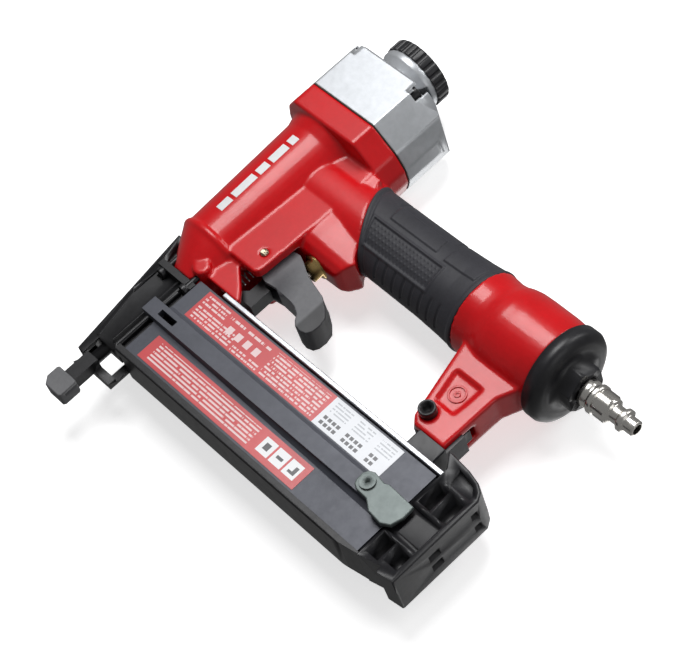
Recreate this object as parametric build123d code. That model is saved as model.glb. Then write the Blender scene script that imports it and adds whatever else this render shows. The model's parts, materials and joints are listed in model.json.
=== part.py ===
from build123d import *
import os
from math import cos, pi, radians, sin, sqrt

# Pneumatic brad nailer, nose down.  +Z runs up the driver axis, +X rearward along the
# handle, and -Y is the side with the magazine cover.  The origin is on the driver axis,
# in the plane of the nose pad's contact face.  All dimensions are in millimetres.

GAP = 0.05               # fine gap between neighbouring pieces

# levels along the driver axis
PAD_TOP_Z = 10.8
TIP_Z = 10.6             # lowest point of the drive guide
GUIDE_STEP_Z = 33.4      # the guide is narrow below this level
SKIRT_Z = 81.0           # bottom of the casting
FLOOR_Z = 99.5           # floor of the cylinder
RIDGE_Z = 102.5          # ridge round the foot of the cylinder column
FLANGE_Z0, FLANGE_Z1 = 176.7, 190.6
CAP_Z0 = FLANGE_Z1 + 0.6  # on top of the gasket
CAVITY_Z = 213.5         # top of the valve chamber in the cap
CAP_EDGE_Z = 220.6       # where the cap's side faces end
CAP_TOP_Z = 222.2
DEFLECTOR_Z0 = CAP_TOP_Z + 0.7
EXHAUST_RING_Z0, EXHAUST_RING_Z1 = 234.4, 241.5
BOSS_Z = 237.1           # top of the cap's central boss

# cylinder and driver; the stroke is PISTON_Z0 - BUMPER_Z1
BORE_R, SLEEVE_R = 15.0, 17.0
SLEEVE_Z1 = 195.5
PISTON_Z0 = 186.5
PISTON_Z1 = PISTON_Z0 + 8
PISTON_R = 14.94
BUMPER_Z1 = 106.5
BLADE_X, BLADE_Y = 1.2, 2.0
BLADE_TIP_Z = 86.2
CHAMBER_R = 21.0         # bore of the gasket and cap

# handle
HANDLE_Z = 159.3
CORE_RY, CORE_RZ = 13.8, 17.3
GRIP_X1 = 126.0
REAR_X1 = 174.2
ENDCAP_R = 24.0
ENDCAP_X1, HEX_X1 = 182.8, 190.4
PLUG_X1, PLUG_TIP_R = 221.0, 3.9

# trigger group
PIN_X, PIN_Z, PIN_R = 29.8, 112.8, 2.0
LEVER_PIN_X, LEVER_PIN_Z = 61.0, 110.6
VALVE_X = 45.5
VALVE_R = 7.0
VALVE_Z1 = 147.0
HOUSING_Z = 127.0        # underside of the valve housing
UNDER_Z = HOUSING_Z - 0.4

# magazine
MAG_Z0, MAG_Z1 = 32.5, 87.0
MAG_X0, MAG_X1 = 14.6, 177.6
MAG_HALF = 12.0
TRACK_HALF = 0.65        # half width of the brad track
LATCH_X, LATCH_Z = 157.7, 60.9
HANGER_X, HANGER_Z = 149.0, 104.2   # hanger screw
HANGER_SCREW_R, HANGER_HOLE_R = 2.5, 2.55
PUSH_X = 18.0            # front of the brad pusher, magazine empty

# screw places, (x, y)
CAP_SCREWS = [(x, y) for x in (-15, 24) for y in (-21.5, 21.5)]
CAP_SCREW_R, CAP_HOLE_R = 2.2, 2.4
CAP_SCREW_Z0, CAP_SEAT_Z = 179.5, 214.6
NOSE_HOLES = [(-6.0, -7.2), (-6.0, 7.2), (11.2, -9.0)]
NOSE_SCREWS = [NOSE_HOLES[0], NOSE_HOLES[2]]
NOSE_SCREW_R, NOSE_SCREW_Z1 = 1.6, 88

# plan outline shared by the flange, the gasket and the cap, (x, y)
OUTLINE = [
    (-16.5, -26.5), (25.5, -26.5), (37.5, -14.0), (41.6, -4.5), (41.6, 4.5), (37.5, 14.0),
    (25.5, 26.5), (-16.5, 26.5), (-23.5, 18), (-26, 9), (-26, -9), (-23.5, -18)]
OUTLINE_CENTRE_X = 5.0

# front edge of the rubber grip, (x, z)
GRIP_FRONT = [
    (41.5, 182), (46.4, 170.0), (50.5, 162.0), (57.5, 149.0), (62.6, 139.6), (67.5, 135.6),
    (72, 130)]

os.makedirs("parts", exist_ok=True)
for old in os.listdir("parts"):
    if old.endswith(".step"):
        os.remove(os.path.join("parts", old))


# --- helpers ---------------------------------------------------------------
def save(name, *shapes):
    """Write every solid of the shapes to one STEP file."""
    solids = [solid for shape in shapes for solid in shape.solids()]
    if len(solids) == 1:
        result = solids[0]
    else:
        result = Compound(children=[Solid(solid.wrapped) for solid in solids])
    export_step(result, f"parts/{name}.step")


def largest(shape):
    return max(shape.solids(), key=lambda solid: solid.volume)


def box(x0, x1, y0, y1, z0, z1):
    """Box between two corners; x and y limits may come in either order."""
    centre = Pos((x0 + x1) / 2, (y0 + y1) / 2, (z0 + z1) / 2)
    return centre * Box(abs(x1 - x0), abs(y1 - y0), z1 - z0)


def cyl_z(x, y, radius, z0, z1):
    return Pos(x, y, (z0 + z1) / 2) * Cylinder(radius, z1 - z0)


def cyl_y(x, z, radius, y0, y1):
    return Pos(x, (y0 + y1) / 2, z) * Rot(90, 0, 0) * Cylinder(radius, abs(y1 - y0))


def handle_cyl(radius, x0, x1):
    """Cylinder on the handle axis."""
    return Pos((x0 + x1) / 2, 0, HANDLE_Z) * Rot(0, 90, 0) * Cylinder(radius, x1 - x0)


def prism_xz(points, y0, y1):
    """Extrude (x, z) points along Y; the limits may come in either order."""
    y0, y1 = sorted((y0, y1))
    face = make_face(Polyline(*[(x, y0, z) for x, z in points], close=True))
    return extrude(face, amount=y1 - y0, dir=(0, 1, 0))


def prism_yz(points, x0, x1):
    face = make_face(Polyline(*[(x0, y, z) for y, z in points], close=True))
    return extrude(face, amount=x1 - x0, dir=(1, 0, 0))


def handle_turned(profile):
    """Revolve (x, radius) points about the handle axis."""
    face = make_face(Polyline(*[(x, radius, 0) for x, radius in profile], close=True))
    return Pos(0, 0, HANDLE_Z) * revolve(face, axis=Axis.X)


def turned_z(profile):
    """Revolve (radius, z) points about the driver axis."""
    face = make_face(Polyline(*[(radius, 0, z) for radius, z in profile], close=True))
    return revolve(face, axis=Axis.Z)


def ring(inner, outer, z0, z1):
    """Square-section ring about the driver axis."""
    return turned_z([(inner, z0), (outer, z0), (outer, z1), (inner, z1)])


def handle_plane(x):
    """Cross-section plane of the handle, facing rearward."""
    return Plane(origin=(x, 0, HANDLE_Z), x_dir=(0, 1, 0), z_dir=(1, 0, 0))


def handle_ellipse(x0, x1, ry, rz):
    return extrude(handle_plane(x0) * Ellipse(ry, rz), amount=x1 - x0, dir=(1, 0, 0))


def hex_z(x, y, z, radius, height):
    return extrude(Pos(x, y, z) * RegularPolygon(radius, 6), amount=height)


def hex_x(x, radius, length):
    return extrude(handle_plane(x) * RegularPolygon(radius, 6), amount=length)


def hex_y(x, y, z, radius, length):
    plane = Plane(origin=(x, y, z), x_dir=(1, 0, 0), z_dir=(0, 1, 0))
    return extrude(plane * RegularPolygon(radius, 6), amount=length)


def spring(x, radius, wire, z0, z1, turns):
    """Round wire coil along Z between two levels."""
    height = z1 - z0 - wire
    path = Helix(pitch=height / turns, height=height, radius=radius,
                 center=(x, 0, z0 + wire / 2), direction=(0, 0, 1))
    section = Plane(origin=path @ 0, z_dir=path % 0) * Circle(wire / 2)
    return sweep(section, path=path, is_frenet=True)


def side_edges(part, half, where=lambda edge: True):
    """Edges centred at y = half or y = -half that also meet a condition."""
    return part.edges().filter_by(
        lambda edge: abs(abs(edge.center().Y) - half) < 0.01 and where(edge))


def soften(part, edges, radius):
    """Round the edges, falling back to smaller radii and then to the plain part."""
    for scale in (1.0, 0.7, 0.45, 0.25):
        # guards against a radius the kernel can't fit on these edges
        try:
            rounded = fillet(edges, radius * scale)
            if rounded.is_valid and rounded.volume > 0.5 * part.volume:
                return rounded
        except Exception:
            pass
    return part


def soften_top(part, radius):
    return soften(part, part.edges().group_by(Axis.Z)[-1], radius)


def join(first, second):
    """Union; keeps the first shape if the kernel's result loses volume."""
    union = first + second
    if union.volume < max(first.volume, second.volume) - 1:
        return first
    return union


def outline(z0, z1, grow=0.0):
    """Slab with the shared plan outline, its corners moved outward by grow."""
    points = []
    for x, y in OUTLINE:
        dx = x - OUTLINE_CENTRE_X
        distance = sqrt(dx ** 2 + y ** 2)
        points.append((x + grow * dx / distance, y + grow * y / distance))
    face = make_face(Polyline(*[(x, y, z0) for x, y in points], close=True))
    face = fillet(face.vertices().filter_by(lambda v: v.X > 30), 6.0)
    face = fillet(face.vertices().filter_by(lambda v: abs(v.Y) > 20), 1.2)
    face = fillet(face.vertices().filter_by(lambda v: v.X < -20), 4.0)
    return extrude(face, amount=z1 - z0, dir=(0, 0, 1))


def socket_screw(x, y, z0, seat, top, shank_r, head_r, rounding, hex_r, hex_z0):
    """Head-up screw with a hexagonal socket."""
    screw = cyl_z(x, y, shank_r, z0, seat) + cyl_z(x, y, head_r, seat, top)
    return soften_top(screw, rounding) - hex_z(x, y, hex_z0, hex_r, 4)


# --- cast housing: column, flange, trigger housing, handle, rear bulb, leg ---
# front and underside of the valve housing, (x, z)
UNDER_SIDE = [
    (33, HOUSING_Z), (56.0, UNDER_Z), (60.0, 127.4), (62.2, 129.6), (66.0, 137.4),
    (62.6, 140.0), (50, 160), (42, 176.5), (33, 176.5)]
WEB = [(12, 102), (22.5, 102), (33.6, 93.0), (37.6, 88.4), (37.6, 87.4), (12, 87.4)]
LEG = [
    (133.0, 145.0), (136.6, 131.0), (144.6, 99.5), (148.0, 95.8), (166.6, 95.8),
    (167.4, 128.0), (171.5, 137.0), (171.5, 145.0)]
LEG_HALF = 9.0
LEG_RECESS = [(142.6, 127.6), (159.4, 127.6), (158.6, 110.4), (146.8, 110.4)]
# rear bulb, (x, radius)
BULB = [
    (GRIP_X1, 0), (GRIP_X1, 21.6), (129.5, 21.2), (133.5, 20.9), (137.5, 21.3), (141.5, 22.6),
    (145.5, 23.3), (152, 23.5), (166, 23.4), (REAR_X1, 22.8), (REAR_X1, 0)]
# passage for the contact arm, (x, z)
ARM_PASSAGE = [
    (4, 70), (40, 70), (40, 89.9), (30, 89.9), (30, 113), (19.95, 113), (19.95, 99),
    (9, 88.5), (4, 88.5)]


def under_section(x, half):
    """Rounded underside of the valve housing at one station."""
    points = [
        (-half, 178.0), (-half, UNDER_Z + 13.0), (-half * 0.97, UNDER_Z + 8.0),
        (-half * 0.86, UNDER_Z + 4.2), (-half * 0.62, UNDER_Z + 1.3),
        (-half * 0.3, UNDER_Z + 0.2), (0, UNDER_Z)]
    points += [(-y, z) for y, z in reversed(points[:-1])]
    return make_face(Polyline(*[(x, y, z) for y, z in points], close=True))


def make_handle():
    """Handle root and core with the rounded valve housing below them."""
    root = handle_ellipse(8, 72, 16.0, 19.6)
    stations = [(33.0, 13.9), (44.0, 13.2), (66.0, 10.2)]  # (x, half width)
    under = loft([under_section(x, half) for x, half in stations], ruled=True)
    under = under & prism_xz(UNDER_SIDE, -20, 20)
    # room for the rubber grip behind the root
    wedge = prism_xz(GRIP_FRONT + [(90, 130), (90, 182)], -30, 30)
    core = handle_ellipse(30, 130, CORE_RY, CORE_RZ)
    return join(join(root - wedge, core), under - wedge)


def make_head():
    """Column, flange and foot, joined to the handle."""
    column = Pos(0, 0, (RIDGE_Z - 1 + FLANGE_Z0) / 2) * Cone(19.5, 22.6, FLANGE_Z0 - RIDGE_Z + 1)
    ridge = turned_z([
        (0, RIDGE_Z - 2.6), (19.6, RIDGE_Z - 2.6), (20.6, RIDGE_Z - 1.4),
        (20.6, RIDGE_Z + 0.4), (19.4, RIDGE_Z + 1.8), (0, RIDGE_Z + 1.8)])
    skirt = loft([
        Pos(5.0, 0, SKIRT_Z) * Ellipse(10.5, 11.5),
        Pos(3.2, 0, 88.5) * Ellipse(14.5, 15.0),
        Pos(0, 0, RIDGE_Z - 2.5) * Circle(19.6)])
    neck = turned_z([(0, 170.0), (22.2, 170.0), (24.4, FLANGE_Z0), (0, FLANGE_Z0)])
    flange = outline(FLANGE_Z0, FLANGE_Z1)
    flange = soften(flange, flange.edges().group_by(Axis.Z)[0], 1.0)
    panel = prism_xz([
        (6, 102.5), (33.5, 102.5), (35.6, 104.5), (37.0, 128.0), (37.0, 176.8), (6, 176.8)],
        -14.2, 14.2)
    head = join(column + ridge + skirt + neck + flange + panel, make_handle())
    # webs of the foot on both sides of the contact arm
    for y0, y1 in ((-10.6, -6.4), (8.0, 10.6)):
        head += prism_xz(WEB, y0, y1)
    # boss on each side of the foot
    for side in (-1, 1):
        head = join(head, cyl_y(11.5, 88.5, 4.4, side * 6.0, side * 14.6))
    return head


def cut_leg(housing):
    """Recessed side panels, the fork for the magazine hanger and its screw hole."""
    for side in (-1, 1):
        housing -= prism_xz(LEG_RECESS, side * 7.2, side * 12.0)
    housing -= box(140, 170, -3.7, 3.7, 95.0, 113.5)
    housing -= cyl_y(HANGER_X, HANGER_Z, HANGER_HOLE_R, -12, 12)
    for side in (-1, 1):
        housing -= cyl_y(HANGER_X, HANGER_Z, 4.6, side * 8.2, side * 12)
    return housing


def cut_inside(housing):
    # cylinder room and nose spigot hole
    housing -= cyl_z(0, 0, SLEEVE_R, FLOOR_Z, 131)
    housing -= cyl_z(0, 0, 19.0, 131, 200)
    housing -= cyl_z(0, 0, 4.0, 70, FLOOR_Z + 1)
    # steps under the foot
    housing -= box(14.5, 40, -20, 20, 70, 84.1) + box(30.2, 60, -20, 20, 70, 87.3)
    # handle tube and rear socket
    housing -= handle_ellipse(12, 162, 10.8, 13.8)
    housing -= handle_cyl(19.8, 160.9, 180)
    # trigger bay between two cheeks, with a ledge for the contact spring
    bay = box(24.6, 80, -8.6, 8.6, 101.0, HOUSING_Z) + box(24.6, 80, -6.35, 7.95, 96, 102)
    bay -= box(15, 26.2, -3.6, 3.6, 113.0, 140)
    bay += box(19.95, 26.6, -6.35, 9.2, 90, 113.0)
    housing -= bay
    housing -= cyl_y(PIN_X, PIN_Z, PIN_R, -20, 20)
    housing -= cyl_z(VALVE_X, 0, VALVE_R, 120, VALVE_Z1)
    # passage for the contact arm on the +Y side of the foot
    housing -= prism_xz(ARM_PASSAGE, 5.6, 8.0)
    housing -= box(4, 30, 7.9, 30, 70, 87.0)
    for x, y in CAP_SCREWS:
        housing -= cyl_z(x, y, CAP_SCREW_R, CAP_SCREW_Z0, 200)
    for x, y in NOSE_SCREWS:
        housing -= cyl_z(x, y, NOSE_SCREW_R, 76, NOSE_SCREW_Z1)
    return housing


def make_housing():
    leg = prism_xz(LEG, -LEG_HALF, LEG_HALF)
    leg = soften(leg, side_edges(leg, LEG_HALF, lambda edge: edge.center().Z < 140), 1.2)
    housing = join(join(make_head(), handle_turned(BULB)), leg)
    return largest(cut_inside(cut_leg(housing)))


housing = make_housing()
save("body_housing", housing)


# --- cylinder, piston, driver ------------------------------------------------
def make_sleeve():
    """Sleeve with eight radial holes and a seal groove."""
    sleeve = cyl_z(0, 0, SLEEVE_R, FLOOR_Z, SLEEVE_Z1)
    sleeve -= cyl_z(0, 0, BORE_R, FLOOR_Z - 1, SLEEVE_Z1 + 1)
    wall_r = (BORE_R + SLEEVE_R) / 2
    for k in range(8):
        angle = 2 * pi * k / 8
        hole = Pos(wall_r * cos(angle), wall_r * sin(angle), 140) * Rot(0, 90, k * 45)
        sleeve -= hole * Cylinder(1.2, 6)
    return sleeve - ring(16.0, 18, 108, 110.4)


def make_piston():
    piston = turned_z([
        (0, PISTON_Z0), (11.0, PISTON_Z0), (13.5, PISTON_Z0 + 1), (PISTON_R, PISTON_Z0 + 2),
        (PISTON_R, PISTON_Z0 + 3.2), (13.0, PISTON_Z0 + 3.2), (13.0, PISTON_Z0 + 6.0),
        (PISTON_R, PISTON_Z0 + 6.0), (PISTON_R, PISTON_Z1 - 0.6), (14.2, PISTON_Z1),
        (8, PISTON_Z1), (6, PISTON_Z1 - 2), (0, PISTON_Z1 - 2)])
    return piston - blade(PISTON_Z0 - 1, PISTON_Z0 + 4)


def blade(z0, z1, gap=0.0):
    half_x, half_y = BLADE_X / 2 + gap, BLADE_Y / 2 + gap
    return box(-half_x, half_x, -half_y, half_y, z0, z1)


save("cylinder_sleeve", make_sleeve())
save("cylinder_seal", ring(16.05, 16.98, 108.2, 110.2))
save("bumper", turned_z([
    (4.6, FLOOR_Z), (14.6, FLOOR_Z), (14.9, FLOOR_Z + 2), (13.6, FLOOR_Z + 4.5),
    (12.8, BUMPER_Z1), (5.6, BUMPER_Z1), (4.6, FLOOR_Z + 5)]))
save("piston", make_piston())
save("piston_ring", ring(13.05, PISTON_R, PISTON_Z0 + 3.3, PISTON_Z0 + 5.9))
save("driver_blade", blade(BLADE_TIP_Z, PISTON_Z0 + 4))


# --- cap, gasket, head valve, exhaust parts ----------------------------------
BOSS_BORE_R = 5.06       # bore of the parts on the cap's boss
VALVE_CUP_Z = 202        # floor of the spring groove in the head valve


def make_gasket():
    gasket = outline(FLANGE_Z1, CAP_Z0, -0.25) - cyl_z(0, 0, CHAMBER_R, 180, 200)
    for x, y in CAP_SCREWS:
        gasket -= cyl_z(x, y, CAP_HOLE_R, 180, 200)
    return gasket


def cap_side_profile():
    """Side view of the cap, (x, z), with an elliptical rear shoulder."""
    front = [
        (-40, CAP_Z0 - 1), (-40, CAP_EDGE_Z - 6), (-26.2, CAP_EDGE_Z - 6),
        (-24.9, CAP_EDGE_Z - 2.2), (-21.5, CAP_TOP_Z - 0.8), (-18, CAP_TOP_Z)]
    shoulder_x, radius_x, radius_z = 30.5, 11.3, 13.5
    shoulder = [(shoulder_x, CAP_TOP_Z)]
    for k in range(1, 13):
        angle = radians(90 - 90 * k / 12)
        shoulder.append((shoulder_x + radius_x * cos(angle),
                         CAP_TOP_Z - radius_z + radius_z * sin(angle)))
    return front + shoulder + [(60, CAP_TOP_Z - 14), (60, CAP_Z0 - 1)]


def make_cap():
    cap = outline(CAP_Z0, CAP_TOP_Z) & prism_xz(cap_side_profile(), -40, 40)
    right = [(26.6, CAP_Z0 - 1), (26.6, CAP_EDGE_Z), (25.9, CAP_EDGE_Z + 1.0), (24.6, CAP_TOP_Z)]
    left = [(-y, z) for y, z in right]
    cap = cap & prism_yz(left + right[::-1], -60, 60)
    cap -= cyl_z(0, 0, CHAMBER_R, CAP_Z0 - 2, CAVITY_Z)
    cap += cyl_z(0, 0, 5.0, CAVITY_Z, BOSS_Z)
    cap += cyl_z(0, 0, 12.0, CAP_TOP_Z - 1, CAP_TOP_Z + 0.6)
    # four ports round the boss
    for k in range(4):
        angle = pi / 4 + k * pi / 2
        cap -= cyl_z(8.5 * cos(angle), 8.5 * sin(angle), 2.8, 205, 230)
    cap -= cyl_z(0, 0, 2.0, 218, 240)
    for x, y in CAP_SCREWS:
        cap -= cyl_z(x, y, CAP_HOLE_R, 180, 230) + cyl_z(x, y, 5.0, CAP_SEAT_Z, 230)
    # open the corners around the screw heads
    for x, y in CAP_SCREWS:
        x_out = x - 14 if x < 0 else x + 5.0
        y_out = y - 14 if y < 0 else y + 14
        cap -= box(x, x_out, y, y_out, 217.4, 230)
    return cap


def make_head_valve():
    valve = cyl_z(0, 0, 18.6, SLEEVE_Z1 + 0.1, 198.5) + cyl_z(0, 0, 20.9, 198.5, 206.5)
    groove = cyl_z(0, 0, 17.6, VALVE_CUP_Z, 208) - cyl_z(0, 0, 9.6, 190, 209)
    valve -= cyl_z(0, 0, 7.0, 180, 210) + groove
    return valve - ring(19.5, 22, 201.2, 203.6)


def make_deflector():
    """Flared cup with a hollow underside and a rear window."""
    deflector = turned_z([
        (BOSS_BORE_R, DEFLECTOR_Z0), (12.6, DEFLECTOR_Z0), (14.0, DEFLECTOR_Z0 + 1.2),
        (16.4, 229.6), (17.2, 231.0), (17.2, 233.4), (16.6, EXHAUST_RING_Z0),
        (BOSS_BORE_R, EXHAUST_RING_Z0)])
    deflector -= turned_z([
        (8.0, DEFLECTOR_Z0 - 1), (11.5, DEFLECTOR_Z0 - 1), (15.2, 229.8), (15.2, 231.6),
        (8.0, 231.6)])
    return deflector - box(9.5, 25, -7.5, 7.5, 226.2, 231.0)


def make_exhaust_ring():
    """Knob with scalloped flutes and a dished top."""
    knob = soften_top(cyl_z(0, 0, 17.9, EXHAUST_RING_Z0, EXHAUST_RING_Z1), 1.0)
    flutes, flute_r, pitch_r = 22, 1.5, 18.35
    for k in range(flutes):
        angle = 2 * pi * k / flutes
        knob -= cyl_z(pitch_r * cos(angle), pitch_r * sin(angle), flute_r,
                      EXHAUST_RING_Z0 - 1, EXHAUST_RING_Z1 + 1)
    return knob - (cyl_z(0, 0, 12.5, 236.9, 250) + cyl_z(0, 0, BOSS_BORE_R, 230, 250))


save("cap_gasket", make_gasket())
save("cylinder_cap", make_cap())
save("cap_screws", *[
    socket_screw(x, y, z0=CAP_SCREW_Z0, seat=CAP_SEAT_Z, top=219.6, shank_r=CAP_SCREW_R,
                 head_r=3.8, rounding=0.5, hex_r=2.0, hex_z0=216.8)
    for x, y in CAP_SCREWS])
save("head_valve", make_head_valve())
save("head_valve_seal", ring(19.55, 20.95, 201.3, 203.5))
save("head_valve_spring", spring(x=0, radius=13.6, wire=1.6, z0=VALVE_CUP_Z + GAP,
                                 z1=CAVITY_Z - GAP, turns=3.5))
save("exhaust_deflector", make_deflector())
save("exhaust_ring", make_exhaust_ring())
save("exhaust_screw", socket_screw(
    0, 0, z0=218.5, seat=BOSS_Z + 0.1, top=239.8, shank_r=1.98, head_r=7.2, rounding=0.8,
    hex_r=2.4, hex_z0=238.2))


# --- handle: grip, end cap, filter, seal, air plug ---------------------------
# grip stations: x, half width, half height
GRIP_STATIONS = [
    (40, 16.6, 19.9), (70, 16.8, 19.9), (100, 17.2, 20.2), (114, 18.2, 20.9),
    (GRIP_X1 - GAP, 20.6, 22.0)]
# end cap and air plug, (x, radius)
ENDCAP = [
    (163.2, 0), (163.2, 19.6), (164.8, 19.6), (164.8, 18.2), (167.6, 18.2), (167.6, 19.78),
    (REAR_X1, 19.78), (REAR_X1, ENDCAP_R), (178.6, ENDCAP_R), (180.6, 23.0), (182.2, 20.4),
    (ENDCAP_X1, 16.0), (ENDCAP_X1, 0)]
PLUG = [
    (178.2, 0), (178.2, 5.58), (HEX_X1, 5.58), (HEX_X1, 6.6), (193.2, 6.9), (195.6, 6.2),
    (196.6, 7.4), (198.4, 7.4), (199.0, 6.0), (206.8, 6.0), (208.0, 4.3), (211.6, 4.3),
    (213.0, 5.7), (214.8, 5.7), (216.0, PLUG_TIP_R), (PLUG_X1 - 0.6, PLUG_TIP_R),
    (PLUG_X1, PLUG_TIP_R - 0.6), (PLUG_X1, 0)]


def make_grip():
    grip = loft([handle_plane(x) * Ellipse(ry, rz) for x, ry, rz in GRIP_STATIONS])
    grip -= handle_ellipse(30, 130, CORE_RY + 0.03, CORE_RZ + 0.03)
    ahead = [(x + GAP, z) for x, z in GRIP_FRONT]
    grip -= prism_xz(ahead + [(72, 100), (0, 100), (0, 190), (41.5, 190)], -30, 30)
    grip -= outline(FLANGE_Z0 - GAP, 230, 0.1)
    return largest(grip)


def make_end_cap():
    endcap = handle_turned(ENDCAP)
    chamfered = handle_turned([
        (182, 0), (182, 12.2), (188.6, 12.2), (HEX_X1, 10.6), (HEX_X1, 0)])
    endcap += hex_x(ENDCAP_X1, 11.6, 7.6) & chamfered
    return endcap - (handle_cyl(5.6, 176, 192) + handle_cyl(4.0, 160, 178)
                     + handle_cyl(14.0, 160, 172))


save("grip_sleeve", make_grip())
save("end_cap", make_end_cap())
save("end_cap_seal", handle_turned([
    (164.85, 18.3), (167.55, 18.3), (167.55, 19.79), (164.85, 19.79)]))
save("air_filter", handle_turned([(161.0, 0), (163.15, 0), (163.15, 19.5), (161.0, 19.5)]))
save("air_plug", handle_turned(PLUG) + hex_x(199.2, 6.9, 6.6) - handle_cyl(2.6, 170, 230))


# --- trigger, lever, pins, trigger valve -------------------------------------
TRIGGER_HALF, TRIGGER_INNER = 7.6, 5.6
TRIGGER = [
    (35.0, 123.4), (37.0, 124.4), (40.0, 124.6), (43.5, 123.2), (50.0, 119.8), (56.8, 117.9),
    (64.8, 115.9), (70.7, 112.4), (75.0, 108.6), (76.2, 104.0), (75.8, 99.6), (74.2, 97.0),
    (70.7, 96.0), (67.0, 96.6), (64.6, 98.6), (62.4, 101.6), (58.8, 103.4), (52.9, 104.5),
    (44.9, 105.0), (37.5, 104.0), (34.0, 105.0), (31.0, 107.4), (25.2, 110.4), (24.9, 113.4),
    (26.6, 116.8), (30.2, 118.4)]
LEVER = [
    (33.0, 112.4), (52.0, 112.0), (58.5, 108.4), (63.2, 108.4), (63.2, 112.8), (58.0, 114.6),
    (33.0, 114.8)]
VALVE_GROOVES = (130.0, 143.0)  # bottoms of the seal grooves


def make_trigger():
    """Trigger, hollowed in two steps for the lever, with both pin holes."""
    trigger = prism_xz(TRIGGER, -TRIGGER_HALF, TRIGGER_HALF)
    rim = side_edges(trigger, TRIGGER_HALF, lambda edge: edge.center().X > 50)
    trigger = soften(trigger, rim, 2.2)
    trigger -= box(20, 44.0, -TRIGGER_INNER, TRIGGER_INNER, 90, 130)
    trigger -= prism_xz([(43.9, 107.6), (60.5, 107.0), (66.0, 106.0), (66.0, 130), (43.9, 130)],
                        -TRIGGER_INNER, TRIGGER_INNER)
    trigger -= cyl_y(PIN_X, PIN_Z, PIN_R + GAP, -12, 12)
    return largest(trigger - make_lever_pin())


def make_lever_pin():
    return cyl_y(LEVER_PIN_X, LEVER_PIN_Z, 1.0, -6.6, 6.6)


def make_valve_body():
    body = cyl_z(VALVE_X, 0, VALVE_R, HOUSING_Z, VALVE_Z1)
    body += cyl_z(VALVE_X, 0, 5.0, 122.4, HOUSING_Z)
    body -= cyl_z(VALVE_X, 0, 1.66, 120, 150) + cyl_z(VALVE_X, 0, 4.6, 131.0, 146.0)
    for z in VALVE_GROOVES:
        body -= Pos(VALVE_X, 0, 0) * ring(6.2, 8, z, z + 1.6)
    return body


save("trigger", make_trigger())
save("trigger_pin", cyl_y(PIN_X, PIN_Z, PIN_R, -14.7, 14.7))
save("trigger_lever",
     prism_xz(LEVER, -2.0, 2.0) - cyl_y(LEVER_PIN_X, LEVER_PIN_Z, 1.0 + GAP, -5, 5))
save("lever_pin", make_lever_pin())
save("valve_body", make_valve_body())
save("valve_seals", *[
    Pos(VALVE_X, 0, 0) * ring(6.22, 6.98, z + GAP, z + 1.55) for z in VALVE_GROOVES])
save("valve_stem",
     cyl_z(VALVE_X, 0, 1.6, 118.5, 139.6) + cyl_z(VALVE_X, 0, 3.6, 134.0, 137.2))
save("valve_spring", spring(x=VALVE_X, radius=2.9, wire=0.6, z0=137.2 + GAP,
                            z1=146.0 - GAP, turns=5))


# --- nose: drive guide, front cover, screws, work contact, pad, spring --------
PLATE_Z0, PLATE_Z1 = SKIRT_Z - 3.6, SKIRT_Z - GAP  # mounting plate under the casting
CONTACT_PLAN = (-3.45, 4.05, -3.4, 3.4)  # x0, x1, y0, y1 of the contact's sleeve
CONTACT_Z0 = 2.2
GUIDE = [
    (-2.2, TIP_Z), (2.8, TIP_Z), (2.8, GUIDE_STEP_Z), (8.8, GUIDE_STEP_Z), (8.8, 34.2),
    (14.4, 34.2), (14.4, 79.6), (14.4, PLATE_Z1), (-9.6, PLATE_Z1), (-9.6, 60),
    (-4.2, GUIDE_STEP_Z), (-2.2, GUIDE_STEP_Z)]
NOSE_COVER = [
    (-19.2, 96.2), (-15.6, 96.2), (-14.2, 90.0), (-9.7, 78.0), (-9.7, 60.0), (-4.3, 33.4),
    (-4.3, 26.4), (-3.9, 23.2), (-8.2, 23.2), (-9.0, 25.6), (-13.2, 55.0)]
COVER_FLANGE = [
    (-14.6, 84.0), (-10.0, 77.6), (-9.7, 60.2), (-4.4, 34.0), (-6.4, 34.0), (-12.0, 62.0),
    (-15.2, 84.0)]
CONTACT_STRIP = [
    (9.6, 20.8), (14.2, 20.8), (14.2, 76.6), (25.4, 88.0), (25.4, 95.4), (20.4, 95.4),
    (20.4, 89.6), (9.6, 78.8)]
PAD = [
    (-4.6, 0), (5.2, 0), (6.1, 1.2), (6.1, PAD_TOP_Z - 1.0), (5.0, PAD_TOP_Z),
    (-6.8, PAD_TOP_Z), (-7.7, PAD_TOP_Z - 1.0), (-7.7, 3.6)]


def make_guide():
    guide = prism_xz(GUIDE, -5.4, 5.4)
    guide -= box(-4, 4, -10, -1.9, 0, GUIDE_STEP_Z) + box(-4, 4, 1.9, 10, 0, GUIDE_STEP_Z)
    guide += cyl_z(0, 0, 3.95, SKIRT_Z - 1, FLOOR_Z - GAP)
    guide += (box(-9.6, 14.4, -10.4, 5.4, PLATE_Z0, PLATE_Z1)
              + box(-9.6, -2.0, -10.4, 10.4, PLATE_Z0, PLATE_Z1))
    # blade slot, then brad track
    guide -= blade(0, 100, gap=0.08)
    guide -= box(0, 30, -TRACK_HALF, TRACK_HALF, 34.6, 80.8)
    # ribs on both faces, (y at the root, y at the crest)
    for root, crest in ((-5.4, -7.6), (5.4, 5.7)):
        for x in (3.6, 8.2, 12.2):
            guide += box(x, x + 1.5, root, crest, 36.2, PLATE_Z0)
    for x, y in NOSE_HOLES:
        guide -= cyl_z(x, y, 1.65, 70, 90) + cyl_z(x, y, 3.1, 73.5, PLATE_Z0)
    return largest(guide)


def nose_screw(x, y):
    head_z = SKIRT_Z - 6.2
    screw = cyl_z(x, y, NOSE_SCREW_R, PLATE_Z0, NOSE_SCREW_Z1)
    screw += cyl_z(x, y, 2.9, head_z, PLATE_Z0)
    return screw - hex_z(x, y, head_z - 0.1, 1.5, 1.6)


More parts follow.
